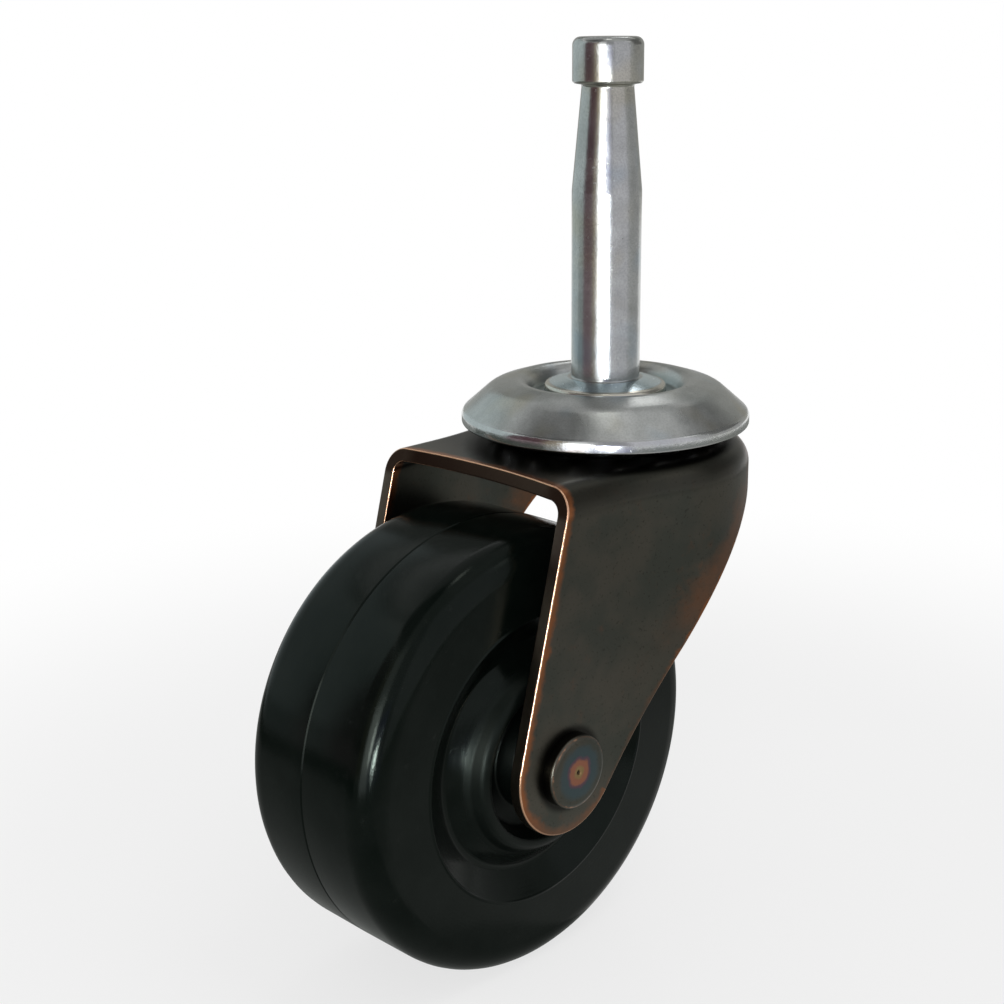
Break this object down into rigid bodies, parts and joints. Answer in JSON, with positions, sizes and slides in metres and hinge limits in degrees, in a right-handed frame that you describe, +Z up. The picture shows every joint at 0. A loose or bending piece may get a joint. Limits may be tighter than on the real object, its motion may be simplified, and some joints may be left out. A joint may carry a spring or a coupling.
{
  "type": "stem castor",
  "caption": "Swivel castor with a grip-neck stem, a ball race under a dished washer, a stamped steel horn and a trailing hard rubber wheel.",
  "frame": {"origin": "on the axis of the stem, where the shaft meets the top of its collar", "axes": "+Z up along the stem; at rest the wheel trails towards -X and its axle lies along Y"},
  "size_m": [0.0637, 0.0338, 0.1014],
  "materials": {
    "zinc_plate": "bright zinc plate, slightly cloudy",
    "ball_steel": "polished and greased",
    "antique_copper": "antique copper, dark brown with rubbed bright edges",
    "hard_rubber": "moulded, satin black"
  },
  "bodies": {
    "stem": {"stem": "zinc_plate", "race_washer": "zinc_plate", "keeper_washer": "zinc_plate"},
    "ball_ring": {"swivel_ball_01": "ball_steel", "swivel_ball_02": "ball_steel", "swivel_ball_03": "ball_steel", "swivel_ball_04": "ball_steel", "swivel_ball_05": "ball_steel", "swivel_ball_06": "ball_steel", "swivel_ball_07": "ball_steel", "swivel_ball_08": "ball_steel", "swivel_ball_09": "ball_steel", "swivel_ball_10": "ball_steel", "swivel_ball_11": "ball_steel", "swivel_ball_12": "ball_steel", "swivel_ball_13": "ball_steel", "swivel_ball_14": "ball_steel"},
    "horn": {"horn": "antique_copper", "axle": "antique_copper"},
    "wheel": {"wheel": "hard_rubber", "axle_bushing": "zinc_plate"}
  },
  "joints": [
    {"name": "swivel", "type": "hinge", "parent": "stem", "child": "horn", "pos_m": [0, 0, -0.0068], "axis": [0, 0, 1], "continuous": true},
    {"name": "ball_orbit", "type": "hinge", "parent": "stem", "child": "ball_ring", "pos_m": [0, 0, -0.0045], "axis": [0, 0, 1], "continuous": true},
    {"name": "wheel_spin", "type": "hinge", "parent": "horn", "child": "wheel", "pos_m": [-0.0214, 0, -0.03795], "axis": [0, 1, 0], "continuous": true}
  ],
  "couplings": [
    {"joint": "ball_orbit", "follows": "swivel", "ratio": 0.5}
  ]
}
